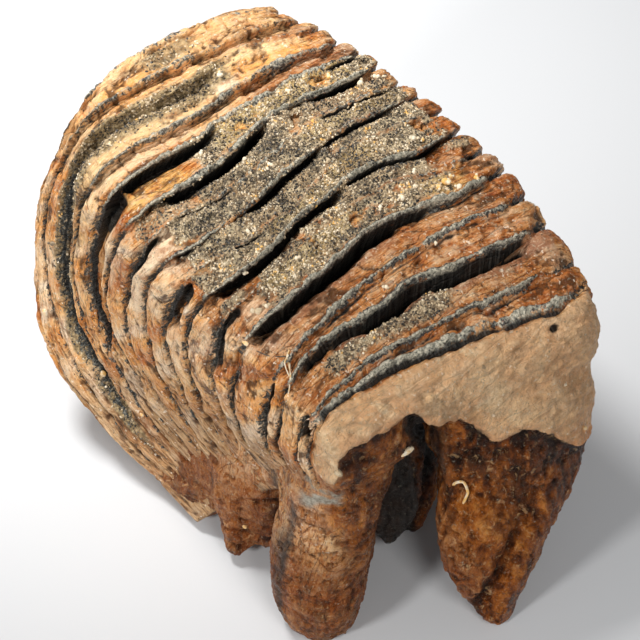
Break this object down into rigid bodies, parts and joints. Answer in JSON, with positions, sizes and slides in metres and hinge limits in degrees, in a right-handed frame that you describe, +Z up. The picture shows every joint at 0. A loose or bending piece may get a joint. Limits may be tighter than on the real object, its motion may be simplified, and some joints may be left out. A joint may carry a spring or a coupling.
{
  "type": "fossil mammoth tooth",
  "caption": "Worn fossil mammoth molar with dark enamel ridges across its chewing face, ribbed sides, a rounded heel and broken roots it stands on.",
  "frame": {"origin": "on the ground under the middle of the tooth's bounding box, as it stands", "axes": "+X towards the worn front end with the two large roots, +Y towards the tooth's right side, +Z up out of the chewing face"},
  "size_m": [0.1665, 0.1184, 0.1227],
  "materials": {
    "fossil": "rough mineralised dentine and cement with dark enamel"
  },
  "bodies": {
    "root": {"tooth": "fossil"}
  },
  "joints": []
}
